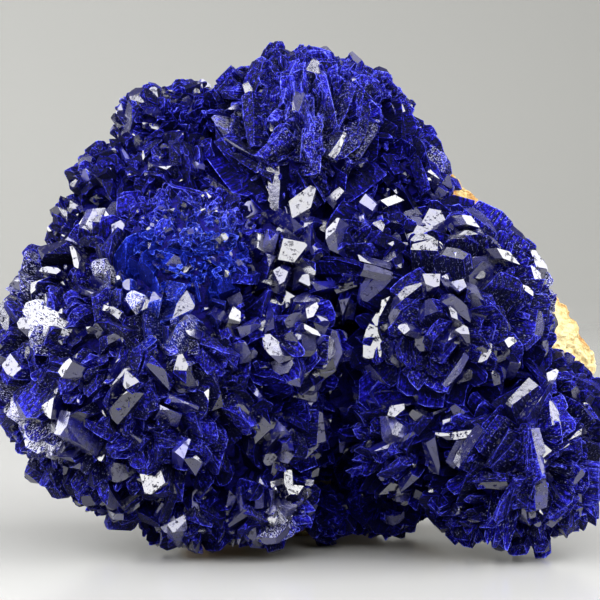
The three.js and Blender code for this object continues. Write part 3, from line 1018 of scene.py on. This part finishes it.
azurite = [broad_material(), facet_material(), core_material()]
for r in ROSETTES:
    piece = make_rosette(r, azurite)
    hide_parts("azurite_crystals")
    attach(piece, "root")

rock = make_rock()
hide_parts("limonite_matrix")
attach(rock, "root")

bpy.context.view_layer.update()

# ---------------------------------------------------------------- the stage

FLOOR_REACH = 1200
WALL_HEIGHT = 1200
WALL_CURVE = 250  # the radius in which the floor turns up into a wall
CURVE_STEPS = 12
BACK_WALL, LEFT_WALL = 250, 350  # how far away the floor starts to turn up
FLOOR_GAP = 0.03  # how far below the specimen's lowest point the floor is
WORLD_LIGHT, WORLD_COLOUR = 0.035, (0.9, 0.95, 1.0, 1)
SPECIMEN_MIDDLE = (0, 0, 28)
# Softboxes: name, place, size, and radiance.
SOFTBOXES = [
    ("left_box", (-350, -20, 220), (380, 400), 9.5),
    ("right_box", (330, -70, 260), (360, 380), 11),
    ("front_box", (-10, -310, 290), (640, 360), 8.5),
    ("top_box", (-10, -60, 420), (300, 240), 2.5),
]


def swept(foot):
    """How far along and how high a floor's points are, from its open end. It turns up into a wall at foot."""
    line = [(-FLOOR_REACH, 0.0), (foot, 0.0)]
    for i in range(1, CURVE_STEPS + 1):
        a = i / CURVE_STEPS * math.pi / 2
        line.append((foot + WALL_CURVE * math.sin(a), WALL_CURVE * (1 - math.cos(a))))
    return line + [(foot + WALL_CURVE, WALL_HEIGHT)]


def make_sweep():
    """One floor with two walls: one behind the specimen and one on its left."""
    bm = bmesh.new()
    rows = []
    for x, left_height in swept(LEFT_WALL):
        line = [(-x, y, max(left_height, height) - FLOOR_GAP) for y, height in swept(BACK_WALL)]
        rows.append([bm.verts.new(Vector(p) * MM) for p in line])
    for one, other in zip(rows, rows[1:]):
        for i in range(len(one) - 1):
            bm.faces.new((one[i], one[i + 1], other[i + 1], other[i]))
    bmesh.ops.recalc_face_normals(bm, faces=bm.faces)
    mesh = bpy.data.meshes.new("sweep")
    bm.to_mesh(mesh)
    bm.free()
    for p in mesh.polygons:
        p.use_smooth = True
    mesh.materials.append(sweep_material())
    sweep = bpy.data.objects.new("sweep", mesh)
    bpy.context.scene.collection.objects.link(sweep)
    return sweep


def softbox(name, at, size, radiance):
    """A soft rectangular light that looks at the specimen, equally bright whatever its size."""
    light = bpy.data.lights.new(name, "AREA")
    light.shape = "RECTANGLE"
    light.size, light.size_y = size[0] * MM, size[1] * MM
    light.energy = radiance * math.pi * light.size * light.size_y
    o = bpy.data.objects.new(name, light)
    o.location = Vector(at) * MM
    o.rotation_euler = (Vector(SPECIMEN_MIDDLE) - Vector(at)).to_track_quat("-Z", "Y").to_euler()
    bpy.context.scene.collection.objects.link(o)


make_sweep()
for box in SOFTBOXES:
    softbox(*box)

world = bpy.data.worlds.new("room")
world.use_nodes = True
world.node_tree.nodes["Background"].inputs["Color"].default_value = WORLD_COLOUR
world.node_tree.nodes["Background"].inputs["Strength"].default_value = WORLD_LIGHT
bpy.context.scene.world = world

CAMERA_DISTANCE = 365
CAMERA_ELEVATION = math.radians(5)
LOOK_AT = Vector((-0.2, -0.7, 27.6))
VIEW_WIDTH = 66  # how much of the specimen's width the view shows
SENSOR_WIDTH = 36
NEAREST, FARTHEST = 0.01, 10  # what the camera sees, in metres
camera_data = bpy.data.cameras.new("camera")
camera_data.sensor_width = SENSOR_WIDTH
camera_data.lens = SENSOR_WIDTH * CAMERA_DISTANCE / VIEW_WIDTH
camera_data.clip_start = NEAREST
camera_data.clip_end = FARTHEST
camera = bpy.data.objects.new("camera", camera_data)
back = Vector((0, -math.cos(CAMERA_ELEVATION), math.sin(CAMERA_ELEVATION)))
camera.location = (LOOK_AT + back * CAMERA_DISTANCE) * MM
camera.rotation_euler = (-back).to_track_quat("-Z", "Y").to_euler()
bpy.context.scene.collection.objects.link(camera)
bpy.context.scene.camera = camera
bpy.context.scene.view_settings.view_transform = "Standard"
